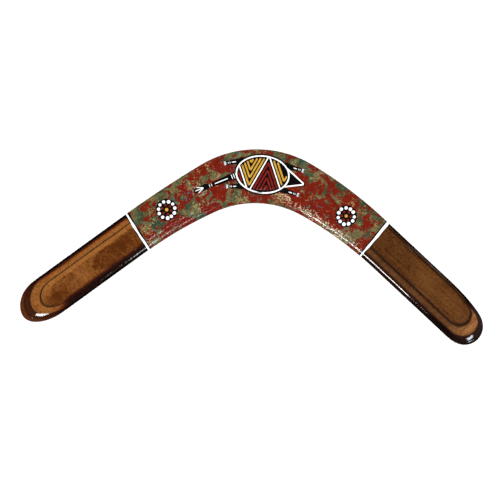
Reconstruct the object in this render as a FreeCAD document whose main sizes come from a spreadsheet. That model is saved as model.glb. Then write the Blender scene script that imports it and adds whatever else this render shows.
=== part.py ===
"""Returning boomerang cut from five-ply board, carved on its upper face and painted across the elbow.

Row frame: +Z up out of the painted face, +X along the span, +Y from the tips to the elbow.
The sketches are drawn about the point where the two arms' centre lines cross, and every
finished piece is moved so that the origin is the middle of the board's underside box.
"""
import FreeCAD, Part
import math
import os
import Sketcher

LEVELS = 6
LEFT, RIGHT = "left", "right"
HUGE = 300.0               # longer than either arm
PRISM = 10.0               # taller than the board
STRIPES = (1, 4, 4, 2)     # nested in each corner of the turtle's zigzag, from the head to the tail
PLIES = ("ply_5_back", "ply_4_cross", "ply_3_core", "ply_2_cross", "ply_1_face")
LEGS = ("front_high", "front_low", "back_high", "back_low")

SIZES = {
    # plan of the board, about the crossing of the arms' centre lines
    "arm_sweep": 39.5,            # degrees that each arm falls below +X
    "chord_left": 37.0,
    "chord_right": 37.6,
    "reach_left": 264.8,
    "reach_right": 255.5,
    "outer_radius_left": 980.0,
    "outer_radius_mid": 94.4,
    "outer_radius_right": 368.0,
    "outer_turn_left": 4.85,      # degrees
    "outer_turn_right": 12.2,
    "inner_radius_left": 351.5,
    "inner_radius_mid": 83.3,
    "inner_radius_right": 311.6,
    "inner_turn_left": 11.6,
    "inner_turn_right": 14.1,
    # tip arcs, as shares of the chord, in the clockwise order of the outline
    "tip_left_first": 1.22,
    "tip_left_nose": 0.302,
    "tip_left_last": 0.68,
    "tip_left_turn": 33.5,        # degrees of the first arc
    "tip_right_first": 4.69,
    "tip_right_nose": 0.447,
    "tip_right_last": 0.78,
    "tip_right_turn": 12.3,
    # the board
    "ply_thick": 1.1,
    "glue_thick": 0.15,
    "bottom_round": 0.7,
    # the carving: how far each level lies in from the widest one, which is level 1
    "trailing_left_2": 0.8, "trailing_left_3": 2.1, "trailing_left_4": 8.4, "trailing_left_5": 13.2,
    "leading_left_2": 0.6, "leading_left_3": 2.0, "leading_left_4": 5.8, "leading_left_5": 10.5,
    "trailing_right_2": 1.7, "trailing_right_3": 5.0, "trailing_right_4": 11.3, "trailing_right_5": 18.4,
    "leading_right_2": 0.4, "leading_right_3": 1.1, "leading_right_4": 3.1, "leading_right_5": 5.4,
    "bevel_left_2": 4.6, "bevel_left_3": 11.0, "bevel_left_4": 21.5, "bevel_left_5": 34.0,
    "bevel_right_2": 2.6, "bevel_right_3": 6.9, "bevel_right_4": 17.4, "bevel_right_5": 30.0,
    # paint: each layer over the one before
    "paint_thick": 0.12,
    "paint_lowest": 0.4,          # height at which the paint stops above the underside
    "band_left": 136.7,           # distance of the painted zone's end from the crossing
    "band_right": 126.7,
    "band_lean": 3.3,             # degrees off square to the arm
    "stripe_inner": 1.4,
    "white_left": 1.8,
    "white_right": 2.4,
    "stripe_outer": 0.7,
    "rosette_back": 29.6,         # from the band towards the elbow
    "rosette_out_left": 0.5,      # off the arm's centre line, towards its outer edge
    "rosette_out_right": -2.2,
    "rosette_radius": 9.5,
    "ring_white": 7.4,
    "ring_red": 3.8,
    "dot_white": 1.6,
    "dot_red": 1.3,
    "dot_ochre": 1.5,
    # the painted turtle, about its shell's centre, head towards -X
    "shell_x": -1.4,
    "shell_y": -31.8,
    "shell_tilt": -2.5,           # degrees
    "shell_long": 23.6,
    "shell_short": 16.7,
    "rim": 1.5,                   # black left around the white outline
    "line_width": 1.3,
    "zigzag_step": 15.0,          # along the shell from one corner of the zigzag to the next
    "zigzag_left": -26.0,
    "stripe_width": 1.7,
    "stripe_gap": 1.0,
    # limbs: start, turn in degrees, length between end circles, and the two end radii
    "neck_x": -21.0, "neck_y": -2.0, "neck_turn": 208.0, "neck_length": 28.0,
    "neck_root": 3.6, "neck_tip": 1.7,
    "head_x": -48.0, "head_y": -16.0, "head_turn": 208.0, "head_length": 9.0,
    "head_root": 2.9, "head_tip": 2.3,
    "tail_x": 14.0, "tail_y": 0.0, "tail_turn": -12.0, "tail_length": 22.5,
    "tail_root": 10.5, "tail_tip": 1.5, "tail_rim": 0.6,
    "front_high_x": -17.5, "front_high_y": 10.5, "front_high_turn": 195.0, "front_high_length": 16.5,
    "front_high_root": 3.0, "front_high_tip": 1.5,
    "front_low_x": -16.0, "front_low_y": -12.0, "front_low_turn": 187.0, "front_low_length": 13.5,
    "front_low_root": 2.8, "front_low_tip": 1.5,
    "back_high_x": 20.0, "back_high_y": 9.5, "back_high_turn": -10.0, "back_high_length": 14.5,
    "back_high_root": 3.0, "back_high_tip": 1.5,
    "back_low_x": 18.0, "back_low_y": -11.5, "back_low_turn": -12.0, "back_low_length": 14.5,
    "back_low_root": 2.8, "back_low_tip": 1.5,
    "dash_start": 0.3,            # shares of a limb's length
    "dash_length": 0.45,
    "dash_width": 1.1,
}


def make_sheet(doc):
    """The driving dimensions, one aliased cell each, with their names beside them."""
    sheet = doc.addObject("Spreadsheet::Sheet", "sizes")
    for row, (alias, value) in enumerate(SIZES.items(), start=1):
        sheet.set(f"A{row}", alias)
        sheet.set(f"B{row}", str(value))
        sheet.setAlias(f"B{row}", alias)
    doc.recompute()
    return sheet


def turn_to(heading, arcs, side):
    """Centre and end of each arc in a tangent chain that starts at 0,0; side 1 turns right, -1 left."""
    chain = []
    point = FreeCAD.Vector()
    for radius, turn in arcs:
        inward = FreeCAD.Vector(math.sin(heading), -math.cos(heading)) * side
        centre = point + inward * radius
        heading_after = heading - side * turn
        outward = FreeCAD.Vector(-math.sin(heading_after), math.cos(heading_after)) * side
        end = centre + outward * radius
        chain.append((point, centre, end, radius))
        point, heading = end, heading_after
    return chain


def number(doc, expression):
    """An expression over the sheet's cells, as a plain number."""
    return float(doc.getObject("sizes").evalExpression(expression.replace("sizes.", "")))


def height_of(level, lift):
    """Height of one level of the carving: the underside, each glue line's middle, the flat top."""
    if level == 0:
        return "0"
    if level == LEVELS - 1:
        return f"{level} * sizes.ply_thick + {level - 1} * sizes.glue_thick + {lift}"
    return f"{level} * (sizes.ply_thick + sizes.glue_thick) - sizes.glue_thick / 2 + {lift}"


def outline_terms(level, outset):
    """Expressions for one level's outline, with outset moving every edge outwards."""
    def inset(bevel):
        return ("sizes.bottom_round", "0")[level] if level < 2 else f"sizes.{bevel}_{level}"

    edges = {
        "outer_left": ("chord_left", inset("trailing_left")),
        "inner_left": ("chord_left", inset("leading_left")),
        "outer_right": ("chord_right", inset("leading_right")),
        "inner_right": ("chord_right", inset("trailing_right")),
    }
    terms = {name: f"(sizes.{chord} / 2 - {cut} + {outset})" for name, (chord, cut) in edges.items()}
    for side in (LEFT, RIGHT):
        width = f"({terms[f'outer_{side}']} + {terms[f'inner_{side}']})"
        terms[f"reach_{side}"] = f"sizes.reach_{side} - {inset(f'bevel_{side}')} + {outset}"
        terms[f"tip_{side}_turn"] = f"sizes.tip_{side}_turn"
        for arc in ("first", "nose", "last"):
            terms[f"tip_{side}_{arc}"] = f"{width} * sizes.tip_{side}_{arc}"
    for edge, sign in (("outer", "-"), ("inner", "+")):
        cut = f"({edges[f'{edge}_left'][1]} + {edges[f'{edge}_right'][1]} - 2 * {outset}) / 2"
        for arc in (LEFT, "mid", RIGHT):
            terms[f"{edge}_radius_{arc}"] = f"sizes.{edge}_radius_{arc} {sign} {cut}"
        for side in (LEFT, RIGHT):
            terms[f"{edge}_turn_{side}"] = f"sizes.{edge}_turn_{side}"
    return terms


def elbow_arcs(values, edge, sweep, order):
    """Radius and turn of an elbow's three arcs, in the order in which the outline passes them."""
    turns = {side: math.radians(values[f"{edge}_turn_{side}"]) for side in (LEFT, RIGHT)}
    turns["mid"] = 2 * sweep - turns[LEFT] - turns[RIGHT]
    return [(values[f"{edge}_radius_{arc}"], turns[arc]) for arc in order]


def tip_arcs(values, side):
    """Radius and turn of a tip's three arcs: the last two turns close the tip to the arm's width."""
    first, nose, last = (values[f"tip_{side}_{arc}"] for arc in ("first", "nose", "last"))
    turn = math.radians(values[f"tip_{side}_turn"])
    width = values[f"outer_{side}"] + values[f"inner_{side}"]
    rest = width - first * (1 - math.cos(turn)) - nose * math.cos(turn) - last
    both = math.acos(rest / (last - nose))
    return [(first, turn), (nose, both - turn), (last, math.pi - both)]


def outline_geometry(values, sweep):
    """Lines and arcs of one outline, clockwise from the left arm's outer edge, as sketch geometry."""
    def along(angle):
        return FreeCAD.Vector(math.cos(angle), math.sin(angle))

    def beside(angle):
        return FreeCAD.Vector(-math.sin(angle), math.cos(angle))

    left, right = along(sweep), along(-sweep)
    on_edge = {
        "outer_left": beside(sweep) * values["outer_left"],
        "outer_right": beside(-sweep) * values["outer_right"],
        "inner_right": beside(-sweep) * -values["inner_right"],
        "inner_left": beside(sweep) * -values["inner_left"],
    }

    def elbow(edge, entry, leave, way, leave_side, order, side):
        """Starts where the chain, slid along the entry edge, ends on the leaving edge."""
        chain = turn_to(math.atan2(way.y, way.x), elbow_arcs(values, edge, sweep, order), side)
        gap = on_edge[leave] - on_edge[entry] - chain[-1][2]
        start = on_edge[entry] + way * (gap.dot(leave_side) / way.dot(leave_side))
        return start, chain, side

    def tip(edge, way, side):
        """Starts where the nose's furthest point comes to the arm's reach."""
        arcs = tip_arcs(values, side)
        (first, turn), (nose, _), _ = arcs
        ahead = values[f"reach_{side}"] - (first - nose) * math.sin(turn) - nose
        return on_edge[edge] + way * ahead, turn_to(math.atan2(way.y, way.x), arcs, 1), 1

    runs = [
        elbow("outer", "outer_left", "outer_right", left, beside(-sweep), (LEFT, "mid", RIGHT), 1),
        tip("outer_right", right, RIGHT),
        elbow("inner", "inner_right", "inner_left", right * -1, beside(sweep), (RIGHT, "mid", LEFT), -1),
        tip("inner_left", left * -1, LEFT),
    ]
    shapes, sides = [], []
    here = runs[-1][0] + runs[-1][1][-1][2]
    for start, chain, side in runs:
        shapes.append(Part.LineSegment(here, start))
        sides.append(0)
        for begin, centre, end, radius in chain:
            ends = (end, begin) if side > 0 else (begin, end)
            angles = [math.atan2(p.y - centre.y, p.x - centre.x) for p in ends]
            if angles[1] < angles[0]:
                angles[1] += 2 * math.pi
            circle = Part.Circle(start + centre, FreeCAD.Vector(0, 0, 1), radius)
            shapes.append(Part.ArcOfCircle(circle, *angles))
            sides.append(side)
        here = start + chain[-1][2]
    return shapes, sides


EDGE_LINES = {"outer_left": 0, "outer_right": 4, "inner_right": 8, "inner_left": 12}
CHAIN_ARCS = {
    1: "outer_radius_left", 2: "outer_radius_mid", 3: "outer_radius_right",
    5: "tip_right_first", 6: "tip_right_nose", 7: "tip_right_last",
    9: "inner_radius_right", 10: "inner_radius_mid", 11: "inner_radius_left",
    13: "tip_left_first", 14: "tip_left_nose", 15: "tip_left_last",
}
ARC_TURNS = {
    1: "outer_turn_left", 3: "outer_turn_right", 5: "tip_right_turn",
    9: "inner_turn_right", 11: "inner_turn_left", 13: "tip_left_turn",
}
ORIGIN = (-1, 1)     # a sketch's own origin, as the solver names it


def bind(sketch, name, constraint, expression):
    """Adds a named constraint whose size follows the sheet."""
    index = sketch.addConstraint(constraint)
    sketch.renameConstraint(index, name)
    sketch.setExpression(f"Constraints.{name}", expression)


def draw_outline(doc, sketch, level, outset):
    """One closed, fully constrained outline of the board at one level of the carving."""
    terms = outline_terms(level, outset)
    values = {name: number(doc, term) for name, term in terms.items()}
    sweep = math.radians(number(doc, "sizes.arm_sweep"))
    shapes, sides = outline_geometry(values, sweep)
    sketch.addGeometry(shapes, False)
    for this, side in enumerate(sides):
        after = (this + 1) % len(sides)
        leave = 1 if side > 0 else 2
        enter = 2 if sides[after] > 0 else 1
        sketch.addConstraint(Sketcher.Constraint("Tangent", this, leave, after, enter))
    for edge, angle in (("outer_left", sweep), ("outer_right", -sweep)):
        sign = "" if angle > 0 else "-"
        constraint = Sketcher.Constraint("Angle", EDGE_LINES[edge], angle)
        bind(sketch, f"{edge}_angle", constraint, f"{sign}sizes.arm_sweep * 1 deg")
    for side in (LEFT, RIGHT):
        pair = EDGE_LINES[f"outer_{side}"], EDGE_LINES[f"inner_{side}"]
        sketch.addConstraint(Sketcher.Constraint("Parallel", *pair))
    for edge, line in EDGE_LINES.items():
        bind(sketch, edge, Sketcher.Constraint("Distance", *ORIGIN, line, values[edge]), terms[edge])
    for arc, name in CHAIN_ARCS.items():
        bind(sketch, name, Sketcher.Constraint("Radius", arc, values[name]), terms[name])
    for arc, name in ARC_TURNS.items():
        turn = math.radians(values[name])
        bind(sketch, name, Sketcher.Constraint("Angle", arc, turn), f"{terms[name]} * 1 deg")
    for side, nose, way in ((RIGHT, 6, -sweep), (LEFT, 14, sweep + math.pi)):
        limit_reach(sketch, side, nose, way, values, terms)


def limit_reach(sketch, side, nose, way, values, terms):
    """A construction line square to the arm, which the tip's nose touches at the arm's reach."""
    along = FreeCAD.Vector(math.cos(way), math.sin(way))
    across = FreeCAD.Vector(-math.sin(way), math.cos(way)) * (1 if side == RIGHT else -1)
    foot = along * values[f"reach_{side}"]
    ends = foot + across * values[f"outer_{side}"], foot - across * values[f"inner_{side}"]
    limit = sketch.addGeometry(Part.LineSegment(*ends), True)
    outer, inner = EDGE_LINES[f"outer_{side}"], EDGE_LINES[f"inner_{side}"]
    sketch.addConstraint(Sketcher.Constraint("PointOnObject", limit, 1, outer))
    sketch.addConstraint(Sketcher.Constraint("PointOnObject", limit, 2, inner))
    sketch.addConstraint(Sketcher.Constraint("Perpendicular", limit, outer))
    sketch.addConstraint(Sketcher.Constraint("Tangent", limit, nose))
    reach = Sketcher.Constraint("Distance", *ORIGIN, limit, values[f"reach_{side}"])
    bind(sketch, f"reach_{side}", reach, terms[f"reach_{side}"])


def plane_of(body, role):
    return next(f for f in body.Origin.OriginFeatures if f.Role == role)


def carved_body(doc, label, outset="0", lift="0"):
    """The carved board as one solid: a ruled loft up through its six level outlines."""
    body = doc.addObject("PartDesign::Body", label)
    sketches = []
    for level in range(LEVELS):
        sketch = body.newObject("Sketcher::SketchObject", f"{label}_level_{level}")
        sketch.AttachmentSupport = (plane_of(body, "XY_Plane"), [""])
        sketch.MapMode = "FlatFace"
        sketch.setExpression(".AttachmentOffset.Base.z", height_of(level, lift))
        draw_outline(doc, sketch, level, outset)
        sketches.append(sketch)
    loft = body.newObject("PartDesign::AdditiveLoft", f"{label}_loft")
    loft.Profile = sketches[0]
    loft.Sections = sketches[1:]
    loft.Ruled = True
    body.Tip = loft
    return body


def slab(doc, label, bottom, thick):
    """A wide flat box at the board's place, as thick as one ply or one glue line."""
    box = doc.addObject("Part::Box", label)
    box.Length = box.Width = 2 * HUGE
    box.Placement.Base = FreeCAD.Vector(-HUGE, -HUGE, 0)
    box.setExpression("Height", thick)
    box.setExpression(".Placement.Base.z", bottom)
    return box


def common(doc, label, *shapes):
    """What the given objects have in common, as one object."""
    piece = doc.addObject("Part::MultiCommon", label)
    piece.Shapes = shapes
    return piece


def board_pieces(doc, board):
    """The five plies and the four glue lines between them, cut from the carved board."""
    pieces = []
    for count, label in enumerate(PLIES):
        bottom = f"{count} * (sizes.ply_thick + sizes.glue_thick)"
        ply = slab(doc, f"{label}_slab", bottom, "sizes.ply_thick")
        pieces.append(common(doc, label, board, ply))
        if count:
            glue = slab(doc, f"glue_{count}_slab", f"{bottom} - sizes.glue_thick", "sizes.glue_thick")
            pieces.append(common(doc, f"glue_line_{count}", board, glue))
    return pieces


def arm_heading(side):
    """Direction towards one arm's tip, in degrees, as an expression."""
    return "(180 + sizes.arm_sweep)" if side == LEFT else "(0 - sizes.arm_sweep)"


def band_box(doc, label, side, start, width):
    """A box across one arm, leaning with the bands, that starts this far beyond the painted zone."""
    turn = f"({arm_heading(side)} {'-' if side == LEFT else '+'} sizes.band_lean)"
    box = doc.addObject("Part::Box", label)
    box.setExpression("Length", width)
    box.Width = 2 * HUGE
    box.Height = PRISM
    box.Placement.Rotation = FreeCAD.Rotation(FreeCAD.Vector(0, 0, 1), 1)
    box.setExpression(".Placement.Rotation.Angle", f"{turn} * 1 deg")
    for axis, along, across in (("x", "cos", "sin"), ("y", "sin", "cos")):
        sign = "+" if axis == "x" else "-"
        box.setExpression(
            f".Placement.Base.{axis}",
            f"sizes.band_{side} * {along}({arm_heading(side)} * 1 deg)"
            f" + ({start}) * {along}({turn} * 1 deg) {sign} {HUGE} * {across}({turn} * 1 deg)")
    box.setExpression(".Placement.Base.z", "sizes.paint_lowest")
    return box


def paint_layer(doc, label, over, under):
    """One coat of paint: a carved board grown by the coat, less the one beneath it."""
    coat = doc.addObject("Part::Cut", label)
    coat.Base = over
    coat.Tool = under
    return coat


def zone_pieces(doc, coat):
    """The painted zone across the elbow, and at each end a white band between two pinstripes."""
    halves = [band_box(doc, f"zone_{side}", side, f"0 - {HUGE}", f"{HUGE}") for side in (LEFT, RIGHT)]
    pieces = [common(doc, "base_coat", coat, *halves)]
    for side in (LEFT, RIGHT):
        start = "0"
        for part in ("stripe_inner", f"white_{side}", "stripe_outer"):
            name = part if part.startswith("stripe") else "white_band"
            label = f"{name}_{side}".replace("stripe", "pinstripe")
            box = band_box(doc, f"{label}_box", side, start, f"sizes.{part}")
            pieces.append(common(doc, label, coat, box))
            start = f"{start} + sizes.{part}"
    return pieces


def disc(doc, label, centre, radius):
    """A tall cylinder at a centre given as two expressions."""
    cylinder = doc.addObject("Part::Cylinder", label)
    cylinder.Height = PRISM
    cylinder.setExpression("Radius", radius)
    for axis, place in zip("xy", centre):
        cylinder.setExpression(f".Placement.Base.{axis}", place)
    return cylinder


def rosette_pieces(doc, side, ground, dots):
    """A black disc with a ring of white dots, a ring of red dots and one ochre dot."""
    heading = f"({arm_heading(side)} * 1 deg)"
    signs = ("+", "-") if side == LEFT else ("-", "+")
    middle = [f"(sizes.band_{side} - sizes.rosette_back) * {way}{heading}"
              f" {sign} sizes.rosette_out_{side} * {across}{heading}"
              for way, across, sign in zip(("cos", "sin"), ("sin", "cos"), signs)]
    black = disc(doc, f"rosette_{side}_disc", middle, "sizes.rosette_radius")
    pieces = [common(doc, f"rosette_ground_{side}", ground, black)]
    for colour, count in (("white", 11), ("red", 6)):
        ring = doc.addObject("Part::Compound", f"rosette_{side}_{colour}_ring")
        links = []
        for place in range(count):
            angle = f"{360 * place / count} * 1 deg"
            centre = [f"{middle[axis]} + sizes.ring_{colour} * {way}({angle})"
                      for axis, way in enumerate(("cos", "sin"))]
            links.append(disc(doc, f"dot_{side}_{colour}_{place}", centre, f"sizes.dot_{colour}"))
        ring.Links = links
        pieces.append(common(doc, f"rosette_{colour}_dots_{side}", dots, ring))
    ochre = disc(doc, f"dot_{side}_ochre", middle, "sizes.dot_ochre")
    pieces.append(common(doc, f"rosette_ochre_dot_{side}", dots, ochre))
    return pieces


def turtle_body(doc, label):
    """An empty body whose origin is the shell's centre, with X from head to tail."""
    body = doc.addObject("PartDesign::Body", label)
    body.AllowCompound = True
    body.Placement.Rotation = FreeCAD.Rotation(FreeCAD.Vector(0, 0, 1), 1)
    body.setExpression(".Placement.Base.x", "sizes.shell_x")
    body.setExpression(".Placement.Base.y", "sizes.shell_y")
    body.setExpression(".Placement.Rotation.Angle", "sizes.shell_tilt * 1 deg")
    return body


def new_sketch(body, label, place=("0", "0"), turn="0"):
    """A sketch on the body's XY plane, moved and turned within it."""
    sketch = body.newObject("Sketcher::SketchObject", label)
    sketch.AttachmentSupport = (plane_of(body, "XY_Plane"), [""])
    sketch.MapMode = "FlatFace"
    sketch.AttachmentOffset.Rotation = FreeCAD.Rotation(FreeCAD.Vector(0, 0, 1), 1)
    sketch.setExpression(".AttachmentOffset.Base.x", place[0])
    sketch.setExpression(".AttachmentOffset.Base.y", place[1])
    sketch.setExpression(".AttachmentOffset.Rotation.Angle", f"({turn}) * 1 deg")
    return sketch


def extrude(body, sketch, kind="PartDesign::Pad"):
    """A tall prism of the sketch, or with a Pocket the same prism taken away."""
    feature = body.newObject(kind, f"{sketch.Label}_prism")
    feature.Profile = sketch
    feature.Length = PRISM
    feature.Reversed = kind == "PartDesign::Pocket"
    body.Tip = feature


def ellipse(doc, body, label, trim, kind="PartDesign::Pad"):
    """The shell's ellipse, drawn in all round by trim."""
    sketch = new_sketch(body, label)
    sizes = {name: f"sizes.shell_{name} - ({trim})" for name in ("long", "short")}
    long, short = (number(doc, sizes[name]) for name in ("long", "short"))
    points = [FreeCAD.Vector(*place) for place in ((long, 0), (0, short), (0, 0))]
    curve = sketch.addGeometry(Part.Ellipse(*points), False)
    sketch.exposeInternalGeometry(curve)
    sketch.addConstraint(Sketcher.Constraint("Coincident", curve, 3, *ORIGIN))
    major, minor = curve + 1, curve + 2
    sketch.addConstraint(Sketcher.Constraint("Horizontal", major))
    for axis, name in ((major, "long"), (minor, "short")):
        constraint = Sketcher.Constraint("Distance", axis, 2 * number(doc, sizes[name]))
        bind(sketch, name, constraint, f"2 * ({sizes[name]})")
    extrude(body, sketch, kind)


def capsule(doc, body, label, place, turn, sizes, kind="PartDesign::Pad"):
    """Two end circles and their outer tangents, starting at a place and running along a turn."""
    sketch = new_sketch(body, label, place, turn)
    length, root, tip = (number(doc, sizes[key]) for key in ("length", "root", "tip"))
    half = math.acos((root - tip) / length)
    spoke = FreeCAD.Vector(math.cos(half), math.sin(half))
    mirrored = FreeCAD.Vector(spoke.x, -spoke.y)
    far, up = FreeCAD.Vector(length, 0), FreeCAD.Vector(0, 0, 1)
    sketch.addGeometry([
        Part.ArcOfCircle(Part.Circle(FreeCAD.Vector(), up, root), half, 2 * math.pi - half),
        Part.LineSegment(mirrored * root, far + mirrored * tip),
        Part.ArcOfCircle(Part.Circle(far, up, tip), -half, half),
        Part.LineSegment(far + spoke * tip, spoke * root),
    ], False)
    for joint in ((0, 2, 1, 1), (1, 2, 2, 1), (2, 2, 3, 1), (3, 2, 0, 1)):
        sketch.addConstraint(Sketcher.Constraint("Tangent", *joint))
    sketch.addConstraint(Sketcher.Constraint("Coincident", 0, 3, *ORIGIN))
    sketch.addConstraint(Sketcher.Constraint("PointOnObject", 2, 3, -1))
    bind(sketch, "length", Sketcher.Constraint("DistanceX", *ORIGIN, 2, 3, length), sizes["length"])
    bind(sketch, "root", Sketcher.Constraint("Radius", 0, root), sizes["root"])
    bind(sketch, "tip", Sketcher.Constraint("Radius", 2, tip), sizes["tip"])
    extrude(body, sketch, kind)


def limb(doc, body, name, trim="0", kind="PartDesign::Pad"):
    """One limb of the turtle, drawn in all round by trim."""
    sizes = {"length": f"sizes.{name}_length"}
    for end in ("root", "tip"):
        sizes[end] = f"sizes.{name}_{end} - ({trim})"
    place = f"sizes.{name}_x", f"sizes.{name}_y"
    capsule(doc, body, f"{body.Label}_{name}", place, f"sizes.{name}_turn", sizes, kind)


def dash(doc, body, name):
    """A slim stroke along the middle of one limb."""
    start = f"sizes.dash_start * sizes.{name}_length"
    place = [f"sizes.{name}_{axis} + {start} * {way}(sizes.{name}_turn * 1 deg)"
             for axis, way in (("x", "cos"), ("y", "sin"))]
    sizes = {"length": f"sizes.dash_length * sizes.{name}_length",
             "root": "sizes.dash_width / 2", "tip": "sizes.dash_width / 2"}
    capsule(doc, body, f"{body.Label}_{name}", place, f"sizes.{name}_turn", sizes)


def chevron(doc, body, corner, near, far):
    """A V-shaped stripe inside one corner of the zigzag, between two distances from its sides."""
    above = corner % 2 == 0
    place = (f"sizes.zigzag_left + {corner} * sizes.zigzag_step",
             f"{'1' if above else '-1'} * sizes.shell_short")
    label = f"{body.Label}_{corner}_{len(body.Group)}"
    sketch = new_sketch(body, label, place, "180" if above else "0")
    lean = math.atan2(number(doc, "sizes.zigzag_step"), 2 * number(doc, "sizes.shell_short"))
    sine = "sin(atan(sizes.zigzag_step / (2 * sizes.shell_short)))"
    top = 2 * number(doc, "sizes.shell_short")
    low, high = (number(doc, f"({edge}) / {sine}") for edge in (near, far))
    points = []
    for height, ends in ((low, (-1, 0, 1)), (high, (1, 0, -1))):
        spread = (top - height) * math.tan(lean)
        points += [FreeCAD.Vector(end * spread, top if end else height) for end in ends]
    corners = len(points)
    sketch.addGeometry([Part.LineSegment(points[i], points[(i + 1) % corners]) for i in range(corners)],
                       False)
    for this in range(corners):
        sketch.addConstraint(Sketcher.Constraint("Coincident", this, 2, (this + 1) % corners, 1))
    for line, point in ((1, 1), (4, 1)):
        sketch.addConstraint(Sketcher.Constraint("PointOnObject", line, point, -2))
    for line in (2, 5):
        sketch.addConstraint(Sketcher.Constraint("Horizontal", line))
    for pair in ((0, 4), (1, 3)):
        sketch.addConstraint(Sketcher.Constraint("Parallel", *pair))
    sketch.addConstraint(Sketcher.Constraint("Symmetric", 0, 1, 1, 2, -2))
    angle = Sketcher.Constraint("Angle", 1, math.pi / 2 - lean)
    bind(sketch, "lean", angle, "90 deg - atan(sizes.zigzag_step / (2 * sizes.shell_short))")
    height = Sketcher.Constraint("DistanceY", *ORIGIN, 0, 1, top)
    bind(sketch, "top", height, "2 * sizes.shell_short")
    for name, line, value, edge in (("low", 1, low, near), ("high", 4, high, far)):
        constraint = Sketcher.Constraint("DistanceY", *ORIGIN, line, 1, value)
        bind(sketch, name, constraint, f"({edge}) / {sine}")
    extrude(body, sketch)


def corner_stripes(doc, body, corners):
    """Nested stripes, evenly spaced, in the given corners of the zigzag."""
    for corner in corners:
        for count in range(STRIPES[corner]):
            near = (f"sizes.line_width / 2 + sizes.stripe_gap"
                    f" + {count} * (sizes.stripe_width + sizes.stripe_gap)")
            chevron(doc, body, corner, near, f"{near} + sizes.stripe_width")


def turtle_pieces(doc, ground, top):
    """A black turtle with a white outline and zigzag, ochre and red stripes in its corners."""
    black = turtle_body(doc, "turtle_black")
    ellipse(doc, black, "black_shell", "0 - sizes.rim")
    for name in ("neck", "head", *LEGS):
        limb(doc, black, name)
    limb(doc, black, "tail", "0 - sizes.tail_rim")

    inside = turtle_body(doc, "turtle_inside")
    ellipse(doc, inside, "inner_shell", "sizes.line_width")
    whole = turtle_body(doc, "turtle_whole")
    ellipse(doc, whole, "whole_shell", "0")

    ring = turtle_body(doc, "turtle_ring")
    ellipse(doc, ring, "ring_outside", "0")
    ellipse(doc, ring, "ring_inside", "sizes.line_width", "PartDesign::Pocket")
    tail = turtle_body(doc, "turtle_tail")
    limb(doc, tail, "tail")
    limb(doc, tail, "tail", "sizes.line_width", kind="PartDesign::Pocket")
    zigzag = turtle_body(doc, "turtle_zigzag")
    for corner in (1, 3):
        chevron(doc, zigzag, corner, "0 - sizes.line_width / 2", "sizes.line_width / 2")
    dashes = turtle_body(doc, "turtle_dashes")
    for name in ("neck", *LEGS):
        dash(doc, dashes, name)

    bare_tail = doc.addObject("Part::Cut", "turtle_bare_tail")
    bare_tail.Base, bare_tail.Tool = tail, whole
    lines = doc.addObject("Part::MultiFuse", "turtle_lines")
    lines.Shapes = [ring, common(doc, "turtle_inner_zigzag", zigzag, whole), bare_tail, dashes]

    pieces = [common(doc, "turtle_ground", ground, black), common(doc, "turtle_white_lines", top, lines)]
    for colour, corners in (("ochre", (1, 3)), ("red", (0, 2))):
        stripes = turtle_body(doc, f"turtle_{colour}")
        corner_stripes(doc, stripes, corners)
        pieces.append(common(doc, f"turtle_{colour}_stripes", top, stripes, inside))
    return pieces


def check(doc, pieces):
    """Stops before anything is written if an object failed or a piece is not a sound solid."""
    for thing in doc.Objects:
        if "Invalid" in thing.State or "Error" in thing.State:
            raise RuntimeError(f"{thing.Label} failed: {thing.State}")
    for piece in pieces:
        if piece.Shape.isNull() or not piece.Shape.isValid() or not piece.Shape.Solids:
            raise RuntimeError(f"{piece.Label} has no sound solid")


def main():
    doc = FreeCAD.newDocument("boomerang")
    make_sheet(doc)
    board = carved_body(doc, "carved_board")
    coats = [board]
    for count in (1, 2, 3):
        growth = f"{count} * sizes.paint_thick"
        coats.append(carved_body(doc, f"painted_board_{count}", growth, growth))
    first, second, third = (
        paint_layer(doc, f"paint_{count}", coats[count], coats[count - 1]) for count in (1, 2, 3))

    pieces = board_pieces(doc, board) + zone_pieces(doc, first)
    for side in (LEFT, RIGHT):
        pieces += rosette_pieces(doc, side, second, third)
    pieces += turtle_pieces(doc, second, third)
    doc.recompute()

    edge = doc.getObject("carved_board_level_1").Shape.BoundBox
    edge.add(doc.getObject("base_coat").Shape.optimalBoundingBox())
    for piece in pieces:
        piece.Placement.Base = FreeCAD.Vector(-edge.Center.x, -edge.Center.y, 0)
    doc.recompute()
    check(doc, pieces)

    os.makedirs("parts", exist_ok=True)
    for piece in pieces:
        piece.Shape.exportStep(f"parts/{piece.Label}.step")
        print(f"{piece.Label}: {piece.Shape.Volume:.1f} mm3, {len(piece.Shape.Solids)} solids")


main()
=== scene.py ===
"""Looks of the carved plywood boomerang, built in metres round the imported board.

The plies are carved again here as smooth pieces that follow the board's own level outlines.
The paint is laid on them in coats, strokes and dots that stand a little proud.
"""
import math
import random

import bmesh
import bpy
import numpy as np
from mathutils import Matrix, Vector, noise
from mathutils.bvhtree import BVHTree


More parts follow.
